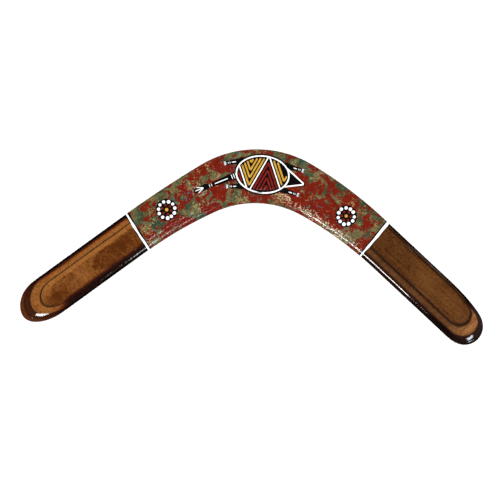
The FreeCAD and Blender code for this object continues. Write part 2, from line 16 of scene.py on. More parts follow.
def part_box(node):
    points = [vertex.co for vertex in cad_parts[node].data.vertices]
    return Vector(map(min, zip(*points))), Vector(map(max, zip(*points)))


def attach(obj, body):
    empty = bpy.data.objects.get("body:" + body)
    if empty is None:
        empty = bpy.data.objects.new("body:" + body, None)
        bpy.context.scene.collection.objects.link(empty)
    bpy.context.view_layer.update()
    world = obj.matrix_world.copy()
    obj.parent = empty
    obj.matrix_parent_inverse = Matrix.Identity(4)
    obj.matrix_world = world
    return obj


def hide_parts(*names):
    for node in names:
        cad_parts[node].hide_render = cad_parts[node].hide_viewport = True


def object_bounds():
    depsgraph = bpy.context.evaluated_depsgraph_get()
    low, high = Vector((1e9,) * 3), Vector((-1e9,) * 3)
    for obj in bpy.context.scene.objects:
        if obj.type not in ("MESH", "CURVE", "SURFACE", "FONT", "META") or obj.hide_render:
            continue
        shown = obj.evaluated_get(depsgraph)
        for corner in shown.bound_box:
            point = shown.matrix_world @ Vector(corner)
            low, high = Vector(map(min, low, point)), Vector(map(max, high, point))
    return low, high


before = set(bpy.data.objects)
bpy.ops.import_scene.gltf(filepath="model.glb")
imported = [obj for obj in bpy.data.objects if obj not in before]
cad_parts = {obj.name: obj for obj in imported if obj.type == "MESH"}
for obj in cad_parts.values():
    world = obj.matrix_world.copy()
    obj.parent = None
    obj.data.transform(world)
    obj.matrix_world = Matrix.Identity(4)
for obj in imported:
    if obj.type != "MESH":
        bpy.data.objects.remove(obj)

MM = 0.001
cad_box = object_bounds()
rng = random.Random(16)

# The board's plan, in millimetres: each arm falls away from the point where their centre lines cross.
SWEEP = math.radians(39.5)
CROSSING = np.array((3.31, 91.75))
LEFT_WAY = np.array((-math.cos(SWEEP), -math.sin(SWEEP)))
RIGHT_WAY = np.array((math.cos(SWEEP), -math.sin(SWEEP)))
LEFT_OUT = np.array((-math.sin(SWEEP), math.cos(SWEEP)))
RIGHT_OUT = np.array((math.sin(SWEEP), math.cos(SWEEP)))
FLAT_SHIFT = {"left": -2.7, "right": 6.4}      # middle of the flat top, off the arm's centre line
SPINE_END = {"left": 228.0, "right": 217.0}    # where the tips' fans of spokes begin
SPINE_RADIUS = 110.0
STEP = 1.5                                     # spacing of the spokes along the board
FAN = 44                                       # spokes round each tip
ELBOW = (-30, 30)                              # where the left arm's look turns into the right arm's
CARVING_WAVE = (0, 0, 0.12, 0.22, 0.42, 0.6)   # how uneven each level is, from the underside up

# Paint, in millimetres.
BAND = {"left": 136.7, "right": 126.7}
BAND_PARTS = ("pinstripe_inner", "white_band", "pinstripe_outer")
BAND_EDGES = {      # each edge's distance from the first, and its lean in degrees
    "left": ((0.0, 3.3), (1.4, 3.3), (3.2, 3.3), (3.9, 3.3)),
    "right": ((0.0, 4.5), (1.4, 4.5), (3.3, 2.9), (4.0, 2.9)),
}
BAND_SEED = {"left": 1, "right": 11}
BAND_WANDER = 0.7                              # unevenness of a hand-drawn edge
COAT = 0.12


def unit(angle):
    return np.array((math.cos(angle), math.sin(angle)))


def smooth_step(value, low, high):
    share = np.clip((value - low) / (high - low), 0, 1)
    return share * share * (3 - 2 * share)


# ---------------------------------------------------------------- the carved board


def spine():
    """Points along the middle of the flat top, tip to tip, and the way outwards from each."""
    left = CROSSING + LEFT_OUT * FLAT_SHIFT["left"]
    right = CROSSING + RIGHT_OUT * FLAT_SHIFT["right"]
    reach = np.linalg.solve(np.column_stack((LEFT_WAY, -RIGHT_WAY)), right - left)
    corner = left + LEFT_WAY * reach[0]
    tangent = SPINE_RADIUS * math.tan(SWEEP)
    centre = corner - np.array((0, SPINE_RADIUS / math.cos(SWEEP)))
    points, outs = [], []
    straight = {side: SPINE_END[side] - tangent for side in SPINE_END}
    for share in np.linspace(1, 0, round(straight["left"] / STEP), endpoint=False):
        points.append(corner + LEFT_WAY * (tangent + share * straight["left"]))
        outs.append(LEFT_OUT)
    for turn in np.linspace(SWEEP, -SWEEP, round(2 * SWEEP * SPINE_RADIUS / STEP), endpoint=False):
        out = unit(math.pi / 2 + turn)
        points.append(centre + out * SPINE_RADIUS)
        outs.append(out)
    for share in np.linspace(0, 1, round(straight["right"] / STEP)):
        points.append(corner + RIGHT_WAY * (tangent + share * straight["right"]))
        outs.append(RIGHT_OUT)
    return np.array(points), np.array(outs)


def spokes():
    """Start and direction of every spoke, clockwise round the board, and its spine point's index."""
    points, outs = spine()
    last = len(points) - 1
    starts, ways, index = list(points), list(outs), list(range(last + 1))
    for share in np.linspace(0, 1, FAN + 2)[1:-1]:
        starts.append(points[last])
        ways.append(unit(math.pi / 2 - SWEEP - math.pi * share))
        index.append(last)
    starts += list(points[::-1])
    ways += list(-outs[::-1])
    index += list(range(last, -1, -1))
    for share in np.linspace(0, 1, FAN + 2)[1:-1]:
        starts.append(points[0])
        ways.append(unit(SWEEP - math.pi / 2 - math.pi * share))
        index.append(0)
    return np.array(starts), np.array(ways), np.array(index), points


def edges_at(node, height):
    """The straight edges of a CAD node's mesh that lie at one height, in millimetres."""
    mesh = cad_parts[node].data
    points = np.array([v.co for v in mesh.vertices]) / MM
    level = np.abs(points[:, 2] - height) < 0.02
    pairs = [e.vertices[:] for e in mesh.edges if level[e.vertices[0]] and level[e.vertices[1]]]
    return points[[a for a, _ in pairs], :2], points[[b for _, b in pairs], :2]


def outline_hits(node, height, starts, ways):
    """Where each spoke leaves the board's outline at one height, smoothed round the loop."""
    a, b = edges_at(node, height)
    along = b - a
    cross = ways[:, None, 0] * along[None, :, 1] - ways[:, None, 1] * along[None, :, 0]
    cross = np.where(np.abs(cross) < 1e-9, 1e-9, cross)
    gap = a[None] - starts[:, None]
    reach = (gap[..., 0] * along[None, :, 1] - gap[..., 1] * along[None, :, 0]) / cross
    place = (gap[..., 0] * ways[:, None, 1] - gap[..., 1] * ways[:, None, 0]) / cross
    good = (place > -0.001) & (place < 1.001) & (reach > 0) & (reach < 60)
    hits = starts + ways * np.where(good, reach, 0).max(axis=1)[:, None]
    for _ in range(6):
        hits = (np.roll(hits, 1, axis=0) + 2 * hits + np.roll(hits, -1, axis=0)) / 4
    return hits


def board_levels():
    """Height and outline of each level: the underside, every glue line's middle, the flat top."""
    starts, ways, index, points = spokes()
    found = [("ply_5_back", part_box("ply_5_back")[0].z / MM)]
    for count in (1, 2, 3, 4):
        low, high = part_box(f"glue_line_{count}")
        found.append((f"glue_line_{count}", (low.z + high.z) / 2 / MM))
    found.append(("ply_1_face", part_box("ply_1_face")[1].z / MM))
    loops = [outline_hits(node, height, starts, ways) for node, height in found]
    return [height for _, height in found], loops, index, points


HEIGHTS, LOOPS, SPINE_INDEX, SPINE = board_levels()
COLUMNS = len(SPINE_INDEX)


def hand_carving(loop, level):
    """Slow unevenness of a carved level, in millimetres, none at the board's widest line."""
    wave = [noise.noise(Vector((x * 0.045, y * 0.045, 3.1 + level * 0.25))) for x, y in loop]
    return CARVING_WAVE[level] * np.array(wave)[:, None]


def carve():
    """Every column's smooth section, from the underside to the flat top, densely sampled."""
    knots = []
    for level, (height, loop) in enumerate(zip(HEIGHTS, LOOPS)):
        inward = SPINE[SPINE_INDEX] - loop
        inward /= np.linalg.norm(inward, axis=1)[:, None]
        moved = loop + inward * hand_carving(loop, level)
        knots.append(np.column_stack((moved, np.full(COLUMNS, height))))
    knots = np.array(knots)
    slopes = np.zeros_like(knots)
    slopes[1:-1] = (knots[2:] - knots[:-2]) / 2
    slopes[0] = knots[1] - knots[0]
    slopes[-1] = knots[-1] - knots[-2]
    slopes[-1, :, 2] = 0
    dense = []
    for low in range(len(knots) - 1):
        a, b = knots[low], knots[low + 1]
        chord = np.linalg.norm(b - a, axis=1)[:, None]
        tangents = []
        for at in (low, low + 1):
            size = np.linalg.norm(slopes[at], axis=1)[:, None]
            tangents.append(slopes[at] / np.maximum(size, 1e-6) * chord)
        for t in np.linspace(0, 1, 30, endpoint=False):
            dense.append((2 * t**3 - 3 * t**2 + 1) * a + (t**3 - 2 * t**2 + t) * tangents[0]
                         + (3 * t**2 - 2 * t**3) * b + (t**3 - t**2) * tangents[1])
    dense.append(knots[-1])
    dense = np.array(dense)
    dense[:, :, 2] = np.maximum.accumulate(dense[:, :, 2], axis=0)
    dense[:, :, 2] = np.minimum(dense[:, :, 2], HEIGHTS[-1])
    return dense


SECTIONS = carve()
WIDEST = LOOPS[1]


def ring_at(height):
    """The board's outline at any height, in millimetres."""
    ring = np.empty((COLUMNS, 3))
    for column in range(COLUMNS):
        section = SECTIONS[:, column]
        for axis in (0, 1):
            ring[column, axis] = np.interp(height, section[:, 2], section[:, axis])
    ring[:, 2] = height
    return ring


def side_rows(low, high, count, crowded_top=False):
    """Rings from one height to another; near the flat top they crowd as the slope dies away."""
    shares = np.linspace(0, 1, count)
    if crowded_top:
        shares = 1 - (1 - shares) ** 2
    return [ring_at(low + (high - low) * share) for share in shares]


def leading():
    """1 on the columns of the blunt leading edges, 0 on the thin trailing ones, blended between."""
    side = np.zeros(COLUMNS)
    last = len(SPINE) - 1
    blend = smooth_step(np.arange(last + 1), 0.4 * last, 0.6 * last)
    side[:last + 1] = blend
    side[last + 1:last + 1 + FAN] = np.linspace(1, 0, FAN)
    side[last + 1 + FAN:2 * last + 2 + FAN] = 1 - blend[::-1]
    side[2 * last + 2 + FAN:] = np.linspace(1, 0, FAN)
    return side


LEADING = leading()


def nose(first):
    """1 in the middle of one tip's fan of spokes, which starts at the given column, 0 elsewhere."""
    share = np.zeros(COLUMNS)
    share[first:first + FAN] = np.sin(np.linspace(0, math.pi, FAN)) ** 1.5
    return share


NOSE_LEFT = nose(2 * len(SPINE) + FAN)
# Edge stain on the left and on the right arm, in millimetres: how far in it is solid and where it has
# died away. Then where along the span it deepens to the right tip, and how much it is thinned before.
STAIN = {
    "leading": ((5.6, 9.8), (1.0, 2.4), (180, 199), 0.0),
    "trailing": ((1.8, 5.4), (0.8, 4.2), (112, 186), 0.62),
}
TIP_STAIN = (5.0, 6.6)      # solid and died away, at the right tip


def on_right(points):
    """0 on the left arm, 1 on the right one, blended across the elbow."""
    return smooth_step(points[:, 0], *ELBOW)


def inset_of(points, columns):
    """Distance of points in from the board's widest outline, in millimetres."""
    return np.linalg.norm(WIDEST[columns] - points[:, :2], axis=1)


def edge_stain(points, columns):
    """Share of dark edge stain at points that belong to the given columns."""
    inset = inset_of(points, columns)
    right = on_right(points)
    share = {}
    for edge, (left_depths, right_depths, deepens, thinned) in STAIN.items():
        tipward = smooth_step(points[:, 0], *deepens)
        depths = []
        for at_left, at_right, at_tip in zip(left_depths, right_depths, TIP_STAIN):
            depth = at_left + (at_right - at_left) * right
            depths.append(depth + (at_tip - depth) * tipward)
        solid, gone = depths
        reach = np.clip((inset - solid) / (gone - solid), 0, 1)
        share[edge] = (1 - reach) ** 2 * (1 + reach) * (1 - thinned * right * (1 - tipward))
    stain = share["leading"] * LEADING[columns] + share["trailing"] * (1 - LEADING[columns])
    return stain * (1 - 0.9 * NOSE_LEFT[columns])


def seam_shade(points, columns, rings):
    """1 at the glue lines next to a ply, dying away a little sooner on the left arm than the right."""
    nearest = np.full(len(points), 9.0)
    for ring in rings:
        nearest = np.minimum(nearest, np.linalg.norm(ring[columns, :2] - points[:, :2], axis=1))
    width = 0.68 + 0.1 * on_right(points)
    return np.exp(-(nearest / width) ** 2)


def add_piece(name, mesh, material, nodes):
    """Makes a mesh a smooth piece of the board that stands for CAD nodes."""
    mesh.materials.append(material)
    mesh.polygons.foreach_set("use_smooth", [True] * len(mesh.polygons))
    piece = bpy.data.objects.new(name, mesh)
    bpy.context.scene.collection.objects.link(piece)
    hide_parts(*nodes)
    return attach(piece, "root")


def add_object(name, vertices, faces, material, nodes):
    """A piece made of faces between vertices that are given in millimetres."""
    mesh = bpy.data.meshes.new(name)
    mesh.from_pydata([tuple(v) for v in np.asarray(vertices) * MM], [], [tuple(f) for f in faces])
    mesh.validate()
    return add_piece(name, mesh, material, nodes)


def band_faces(low, high):
    """Faces between two rings, given where each ring starts in the list of vertices."""
    faces = []
    for this in range(COLUMNS):
        after = (this + 1) % COLUMNS
        faces.append((low + after, low + this, high + this, high + after))
    return faces


def cap_faces(ring_start, spine_start):
    """Faces from a ring in to the spine."""
    faces = []
    for this in range(COLUMNS):
        after = (this + 1) % COLUMNS
        inner, inner_after = spine_start + SPINE_INDEX[this], spine_start + SPINE_INDEX[after]
        face = [ring_start + this, ring_start + after, inner_after, inner]
        faces.append(face if inner != inner_after else face[:3])
    return faces


def board_piece(name, rows, material):
    """One ply or glue line: its outer side in rows, closed above and below along the spine."""
    vertices = list(np.concatenate(rows))
    faces = []
    for row in range(len(rows) - 1):
        faces += band_faces(row * COLUMNS, (row + 1) * COLUMNS)
    top = (len(rows) - 1) * COLUMNS
    for ring_start, height, up in ((0, rows[0][0, 2], False), (top, rows[-1][0, 2], True)):
        spine_start = len(vertices)
        vertices += [(x, y, height) for x, y in SPINE]
        caps = cap_faces(ring_start, spine_start)
        faces += [f[::-1] for f in caps] if up else caps
    piece = add_object(name, vertices, faces, material, [name])
    mesh = piece.data
    side = np.concatenate(rows)
    columns = np.tile(np.arange(COLUMNS), len(rows))
    flatness = smooth_step(np.linspace(0, 1, len(rows)), 0.55, 0.95)
    steep = 1 - np.repeat(flatness, COLUMNS)
    rings = rows[:1] if name == "ply_1_face" else (rows[0], rows[-1])
    marks = {
        "stain": edge_stain(side, columns),
        "seam": seam_shade(side, columns, rings),
        "bevel": steep * (1 - LEADING[columns]) * (1 - smooth_step(side[:, 0], -60, 0)),
    }
    for mark, values in marks.items():
        layer = mesh.attributes.new(mark, "FLOAT", "POINT")
        values = np.concatenate((values, np.zeros(2 * len(SPINE))))
        layer.data.foreach_set("value", values.astype(np.float32))
    sharp = {0} if name == "ply_1_face" else {0, top}
    for edge in mesh.edges:
        ends = sorted(edge.vertices)
        for start in sharp:
            if start <= ends[0] and ends[1] < start + COLUMNS:
                edge.use_edge_sharp = True
    return piece


# ---------------------------------------------------------------- materials


class Shader:
    """Short names for the nodes that the procedural materials here are made of."""

    def __init__(self, name, roughness=0.6, coat=1.0, coat_roughness=0.05, specular=0.04, coat_ior=1.5):
        self.material = bpy.data.materials.new(name)
        self.material.use_nodes = True
        self.tree = self.material.node_tree
        self.out = self.tree.nodes["Principled BSDF"]
        self.out.inputs["Roughness"].default_value = roughness
        self.out.inputs["Coat Weight"].default_value = coat
        self.out.inputs["Coat Roughness"].default_value = coat_roughness
        self.out.inputs["Coat IOR"].default_value = coat_ior
        self.out.inputs["Specular IOR Level"].default_value = specular
        self.place = self.tree.nodes.new("ShaderNodeTexCoord").outputs["Object"]

    def node(self, kind, inputs, **settings):
        """A node whose inputs are linked to sockets or set to values."""
        made = self.tree.nodes.new(kind)
        for key, value in settings.items():
            setattr(made, key, value)
        for key, value in inputs.items():
            if isinstance(value, bpy.types.NodeSocket):
                self.tree.links.new(value, made.inputs[key])
            else:
                made.inputs[key].default_value = value
        return made

    def turned(self, degrees, stretch):
        """The place, turned about Z and squeezed along its new X, for grain that runs that way."""
        spun = self.node("ShaderNodeMapping", {
            "Vector": self.place, "Rotation": (0, 0, math.radians(-degrees))})
        return self.node("ShaderNodeMapping", {
            "Vector": spun.outputs[0], "Scale": (1 / stretch, 1, 1)}).outputs[0]

    def noise(self, size, detail=4.0, rough=0.55, warp=0.0, at=None):
        """Fractal noise whose features are about size millimetres across."""
        made = self.node("ShaderNodeTexNoise", {
            "Vector": at or self.place, "Scale": 1 / (size * MM), "Detail": detail,
            "Roughness": rough, "Distortion": warp})
        return made.outputs["Fac"]

    def steps(self, value, *stops):
        """A colour ramp through (place, colour) stops, or (place, grey)."""
        ramp = self.node("ShaderNodeValToRGB", {"Fac": value})
        for count, (place, colour) in enumerate(stops):
            stop = ramp.color_ramp.elements[count] if count < 2 else ramp.color_ramp.elements.new(place)
            stop.position = place
            stop.color = (*colour, 1) if isinstance(colour, tuple) else (colour, colour, colour, 1)
        return ramp.outputs[0]

    def mix(self, share, first, second, blend="MIX"):
        """Two colours, blended by a share."""
        made = self.tree.nodes.new("ShaderNodeMix")
        made.data_type, made.blend_type = "RGBA", blend
        for socket, value in ((made.inputs[0], share), (made.inputs[6], first), (made.inputs[7], second)):
            if isinstance(value, bpy.types.NodeSocket):
                self.tree.links.new(value, socket)
            elif isinstance(value, tuple):
                socket.default_value = (*value, 1)
            else:
                socket.default_value = value
        return made.outputs[2]

    def sums(self, kind, first, second, third=None):
        """A math node of two or three values."""
        made = self.tree.nodes.new("ShaderNodeMath")
        made.operation = kind
        for socket, value in zip(made.inputs, (first, second, third)):
            if isinstance(value, bpy.types.NodeSocket):
                self.tree.links.new(value, socket)
            elif value is not None:
                socket.default_value = value
        return made.outputs[0]

    def patch(self, centre, turn, along, across, soft):
        """A slightly ragged oval, its long way turned by an angle: 1 inside, fading over its edge."""
        warp = self.noise(4, 3)
        moved = self.node("ShaderNodeMapping", {
            "Vector": self.place, "Location": (*centre, 0), "Rotation": (0, 0, math.radians(turn)),
            "Scale": (along, across, 1)}, vector_type="TEXTURE")
        reach = self.node("ShaderNodeVectorMath", {0: moved.outputs[0]}, operation="LENGTH")
        ragged = self.sums("MULTIPLY_ADD", warp, 0.5, reach.outputs["Value"])
        return self.spread(ragged, 1.22 - soft, 1.22 + soft, 1.0, 0.0)

    def attribute(self, name):
        return self.node("ShaderNodeAttribute", {}, attribute_name=name).outputs["Fac"]

    def spread(self, value, low, high, to_low=0.0, to_high=1.0):
        """A value moved from one range to another and kept inside it."""
        return self.node("ShaderNodeMapRange", {
            "Value": value, "From Min": low, "From Max": high, "To Min": to_low, "To Max": to_high,
        }).outputs[0]

    def colour(self, value):
        self.tree.links.new(value, self.out.inputs["Base Color"])

    def bump(self, *layers):
        """Layers of (height value, depth in millimetres), felt by the surface and its varnish."""
        normal = None
        for value, depth in layers:
            inputs = {"Height": value, "Distance": depth * MM, "Strength": 1.0}
            if normal:
                inputs["Normal"] = normal
            normal = self.node("ShaderNodeBump", inputs).outputs[0]
        self.tree.links.new(normal, self.out.inputs["Normal"])
        self.tree.links.new(normal, self.out.inputs["Coat Normal"])


FACE_GRAIN = -math.degrees(SWEEP)     # the outer grain runs along the right arm
CROSS_GRAIN = math.degrees(SWEEP)     # and every other ply across it
CLOUDINESS, MOTTLING, RIGHT_SHIFT = 0.36, 0.75, 0.10      # shares in the wood's tone
# Places where the face ply is made darker or lighter: centre in metres, half sizes, softness, how
# strongly.
FACE_TONE_PATCHES = (
    ((-0.1267, -0.0193), 0.0170, 0.0090, 0.10, -0.13),
    ((-0.1085, -0.0045), 0.0120, 0.0090, 0.30, -0.09),
    ((-0.1718, -0.0609), 0.0150, 0.0080, 0.50, -0.15),
    ((-0.1500, -0.0350), 0.0060, 0.0070, 0.20, 0.05),
    ((0.1560, -0.0270), 0.0240, 0.0085, 0.60, 0.15),
)
SEAM_TINT = (0.20, 0.15, 0.14)
EDGE_TINTS = (      # from no edge stain to full stain
    (0.0, (1, 1, 1)), (0.25, (0.66, 0.46, 0.34)), (0.6, (0.25, 0.085, 0.04)), (1.0, (0.055, 0.016, 0.010)),
)
RIGHT_TIP = (0.1930, -0.0582)
TIP_EDGE_WITH_SHEEN = (0.022, 0.012, 0.0115)                         # colour of the right tip's fully stained edge, lifted to a purplish grey as painted sheen round the tip's highlight
SPONGE_SHIFT = (-0.1435, -0.0900, 0.0)      # which part of the endless sponge pattern lies on the board
PALE_FLECKS_AND_SPARKLE = (0.0570, 0.0212)              # where paler cream flecks gather along the right arm's inner edge: partly paint flecks, partly a painted highlight for the varnish's sparkle there


def wood(name, grain_turn, pale, deep, figure_share, right_tint, tip_tint):
    """Stained, varnished veneer: long grain, clouds where the stain took unevenly, dark edges."""
    s = Shader(name)
    figure = s.noise(2.6, 5, 0.6, 0.5, s.turned(grain_turn, 12))
    streaks = s.noise(0.55, 3, 0.6, 0.0, s.turned(grain_turn, 9))
    mottle = s.noise(1.7, 4, 0.75)
    clouds = s.noise(22, 4, 0.6, 0.5)
    x = s.node("ShaderNodeSeparateXYZ", {"Vector": s.place}).outputs["X"]
    rightward = s.spread(x, -0.06, 0.06)
    tone = s.sums("MULTIPLY", figure, s.spread(rightward, 0, 1, figure_share, figure_share + 0.25))
    tone = s.sums("MULTIPLY_ADD", rightward, -RIGHT_SHIFT, tone)
    tone = s.sums("MULTIPLY_ADD", clouds, CLOUDINESS, tone)
    tone = s.sums("MULTIPLY_ADD", mottle, MOTTLING, tone)
    middle = (figure_share + RIGHT_SHIFT + CLOUDINESS + MOTTLING) / 2
    if name == "ply_1_face":
        for centre, along, across, soft, depth in FACE_TONE_PATCHES:
            turn = CROSS_GRAIN if centre[0] < 0 else FACE_GRAIN
            tone = s.sums("MULTIPLY_ADD", s.patch(centre, turn, along, across, soft), depth, tone)
        # The face ply is made lighter on the steep part of the left arm's trailing bevel.
        tone = s.sums("MULTIPLY_ADD", s.attribute("bevel"), 0.16, tone)
    darkest = tuple(c * 0.7 for c in deep)
    colour = s.steps(tone, (middle - 0.34, darkest), (middle - 0.17, deep), (middle + 0.15, pale))
    pores = s.steps(streaks, (0.34, 0.45), (0.46, 0.0))
    colour = s.mix(pores, colour, tuple(c * 0.45 for c in deep))
    at_tip = s.patch(RIGHT_TIP, FACE_GRAIN, 0.0110, 0.0150, 0.6)
    tint = s.mix(at_tip, right_tint, tip_tint)
    colour = s.mix(rightward, colour, s.mix(1.0, colour, tint, "MULTIPLY"))
    seam = s.sums("MULTIPLY", s.attribute("seam"), s.spread(rightward, 0, 1, 0.35, 1.0))
    colour = s.mix(seam, colour, s.mix(1.0, colour, SEAM_TINT, "MULTIPLY"))
    edge = s.attribute("stain")
    ragged = s.sums("MULTIPLY", s.sums("SUBTRACT", s.noise(2.5, 4, 0.65), 0.5), 0.35)
    uneven = s.sums("ADD", edge, s.sums("MULTIPLY", ragged, s.spread(edge, 0.0, 0.3)))
    colour = s.mix(1.0, colour, s.steps(uneven, *EDGE_TINTS), "MULTIPLY")
    # At the right tip the stained edge takes a purplish grey: painted sheen round the tip's highlight.
    s.colour(s.mix(s.sums("MULTIPLY", edge, at_tip), colour, TIP_EDGE_WITH_SHEEN))
    rough_edge = s.sums("MULTIPLY", s.noise(1.5, 3, 0.6), edge)
    s.bump((s.noise(14, 2), 0.10), (s.noise(1.6, 2), 0.010), (streaks, 0.006), (rough_edge, 0.028))
    return s.material


def glue():
    s = Shader("glue")
    s.colour(s.steps(s.noise(2.5), (0.3, (0.009, 0.004, 0.002)), (0.8, (0.035, 0.014, 0.006))))
    s.bump((s.noise(14, 2), 0.10), (s.noise(1.6, 2), 0.006))
    return s.material


def sponged_red():
    """Brick red coat with torn sponge marks of green and olive, yellow flecks and a few blue specks."""
    s = Shader("paint_base", coat_ior=1.57)
    red = s.steps(s.noise(6, 5), (0.3, (0.100, 0.0060, 0.0014)), (0.75, (0.165, 0.0095, 0.0026)))
    torn = s.noise(2.4, 4, 0.8, 0.5, s.turned(50, 1.5))
    moved = s.node("ShaderNodeMapping", {"Vector": s.place, "Location": SPONGE_SHIFT}).outputs[0]
    cover = s.sums("MULTIPLY_ADD", s.noise(12, 3, 0.6, 0.8, moved), 1.6, torn)
    mask = s.steps(s.sums("MULTIPLY", cover, 0.5), (0.656, 0.0), (0.672, 1.0))
    hue = s.sums("MULTIPLY_ADD", s.noise(9, 3), 0.6, s.sums("MULTIPLY", s.noise(1.6, 3, 0.8), 0.4))
    sponge = s.steps(hue, (0.42, (0.010, 0.048, 0.024)), (0.50, (0.055, 0.080, 0.034)),
                     (0.58, (0.130, 0.108, 0.042)))
    colour = s.mix(s.sums("MULTIPLY", mask, 0.92), red, sponge)
    gathered = s.steps(s.noise(13, 2, 0.6), (0.50, 0.0), (0.62, 0.10))
    gathered = s.sums("MULTIPLY_ADD", mask, 0.035, gathered)
    # Pale cream flecks along the right arm's inner edge: partly paint, partly a painted highlight standing
    # in for sparkle in the varnish.
    fleck_and_sparkle_band = s.patch(PALE_FLECKS_AND_SPARKLE, FACE_GRAIN + 8, 0.0480, 0.0048, 0.4)
    gathered = s.sums("MULTIPLY_ADD", fleck_and_sparkle_band, 0.09, gathered)
    flecks = s.steps(s.sums("ADD", s.noise(1.7, 3, 0.8), gathered), (0.655, 0.0), (0.675, 1.0))
    fleck = s.mix(fleck_and_sparkle_band, (0.36, 0.235, 0.085), (0.62, 0.50, 0.33))
    colour = s.mix(s.sums("MULTIPLY", flecks, 0.8), colour, fleck)
    specks = s.sums("MULTIPLY", s.steps(s.noise(1.7, 2), (0.648, 0.0), (0.670, 1.0)),
                    s.steps(s.noise(24, 2), (0.5, 0.0), (0.58, 1.0)))
    s.colour(s.mix(specks, colour, (0.018, 0.120, 0.20)))
    s.bump((s.noise(14, 2), 0.10), (s.noise(1.9, 2), 0.09), (torn, 0.05), (mask, 0.03))
    return s.material


def brushed_paint(name, pale, deep, streak_turn=0.0):
    """One hand-painted colour: a thick opaque coat, a little streaked by the brush."""
    s = Shader(name)
    streaks = s.noise(0.5, 3, 0.6, 0.0, s.turned(streak_turn, 5))
    patches = s.noise(3.0, 3)
    tone = s.sums("MULTIPLY_ADD", streaks, 0.5, s.sums("MULTIPLY", patches, 0.5))
    s.colour(s.steps(tone, (0.38, deep), (0.62, pale)))
    s.bump((s.noise(14, 2), 0.10), (s.noise(1.6, 2), 0.006), (streaks, 0.02))
    return s.material


PLY_WOOD = {      # grain, pale and deep colours, share of figure, tints of the right arm and its tip, slot
    "ply_1_face": (
        FACE_GRAIN, (0.255, 0.096, 0.0200), (0.078, 0.0180, 0.0010), 0.22,
        (0.43, 0.415, 0.43), (0.54, 0.58, 0.80), "wood_face"),
    "ply_2_cross": (
        CROSS_GRAIN, (0.315, 0.118, 0.026), (0.135, 0.041, 0.0060), 0.22,
        (0.40, 0.42, 0.60), (0.98, 1.15, 1.80), "wood_cross"),
    "ply_3_core": (
        FACE_GRAIN, (0.070, 0.017, 0.0025), (0.030, 0.007, 0.001), 0.22,
        (0.90, 0.85, 0.90), (0.90, 0.85, 0.90), "wood_core"),
    "ply_4_cross": (
        CROSS_GRAIN, (0.14, 0.038, 0.007), (0.065, 0.015, 0.003), 0.22,
        (0.60, 0.55, 0.60), (0.60, 0.55, 0.60), "wood_cross"),
    "ply_5_back": (
        FACE_GRAIN, (0.22, 0.085, 0.020), (0.10, 0.030, 0.006), 0.35,
        (0.80, 0.78, 0.80), (0.80, 0.78, 0.80), "wood_back"),
}
ROWS = {"ply_1_face": 12, "ply_2_cross": 7, "ply_3_core": 6, "ply_4_cross": 5, "ply_5_back": 6}


def build_board():
    for name, (*look, slot) in PLY_WOOD.items():
        low, high = (corner.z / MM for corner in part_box(name))
        rows = side_rows(low, high, ROWS[name], name == "ply_1_face")
        board_piece(name, rows, wood(name, *look))
    dark = glue()
    for count in (1, 2, 3, 4):
        name = f"glue_line_{count}"
        low, high = (corner.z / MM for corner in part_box(name))
        board_piece(name, side_rows(low, high, 2), dark)


# ---------------------------------------------------------------- coats of paint


def coat_sheet():
    """The board's skin above the coat's lower edge, grown by one coat, as an open sheet."""
    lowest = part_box("base_coat")[0].z / MM
    edges = [lowest] + [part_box(f"glue_line_{count}")[1].z / MM for count in (1, 2, 3, 4)]
    rows = []
    for low, high in zip(edges, edges[1:]):
        rows += side_rows(low, high, 7)[:-1]
    rows += side_rows(edges[-1], HEIGHTS[-1], 14, True)
    vertices = list(np.concatenate(rows))
    faces = []
    for row in range(len(rows) - 1):
        faces += band_faces(row * COLUMNS, (row + 1) * COLUMNS)
    ring_start = (len(rows) - 1) * COLUMNS
    halfway = len(vertices)
    middle = SPINE[SPINE_INDEX]
    for share in (0.25, 0.5, 0.75):
        ring = rows[-1].copy()
        ring[:, :2] += (middle - ring[:, :2]) * share
        vertices += list(ring)
    for start in (ring_start, halfway, halfway + COLUMNS):
        faces += band_faces(start, halfway if start == ring_start else start + COLUMNS)
    spine_start = len(vertices)
    vertices += [(x, y, HEIGHTS[-1]) for x, y in SPINE]
    faces += [f[::-1] for f in cap_faces(halfway + 2 * COLUMNS, spine_start)]
    sheet = bmesh.new()
    made = [sheet.verts.new(v) for v in vertices]
    for face in faces:
        sheet.faces.new([made[v] for v in face])
    sheet.normal_update()
    moves = [(v, v.normal * COAT) for v in sheet.verts]
    for vertex, move in moves:
        vertex.co += move
        vertex.co.z = max(vertex.co.z, lowest)
    return sheet


SHEET = coat_sheet()
SURFACE = BVHTree.FromBMesh(SHEET)


def surface_height(x, y):
    """Height of the painted surface, in millimetres."""
    hit = SURFACE.ray_cast(Vector((x, y, 50)), Vector((0, 0, -1)))[0]
    return hit.z if hit else 0.0


def wander(across, seed):
    """How far one hand-drawn band edge strays, in millimetres, at a place across the arm."""
    return BAND_WANDER * noise.noise(Vector((across * 0.10, seed * 7.7, 0)))


def cut_along(sheet, side, count, keep_beyond):
    """Trims the sheet along one band edge, on the side towards or beyond the tip."""
    way = LEFT_WAY if side == "left" else RIGHT_WAY
    distance, lean = BAND_EDGES[side][count]
    turn = math.atan2(way[1], way[0]) + math.radians(-lean if side == "left" else lean)
    seed = count + BAND_SEED[side]
    ahead, across = unit(turn), unit(turn + math.pi / 2)
    base = CROSSING + way * BAND[side]

    def shift(sign):
        for vertex in sheet.verts:
            move = wander((np.array(vertex.co.xy) - base) @ across, seed) * sign
            vertex.co.x -= ahead[0] * move
            vertex.co.y -= ahead[1] * move

    shift(1)
    start = base + ahead * distance
    bmesh.ops.bisect_plane(
        sheet, geom=sheet.verts[:] + sheet.edges[:] + sheet.faces[:], dist=1e-4,
        plane_co=(*start, 0), plane_no=(*ahead, 0),
        clear_outer=not keep_beyond, clear_inner=keep_beyond)
    shift(-1)


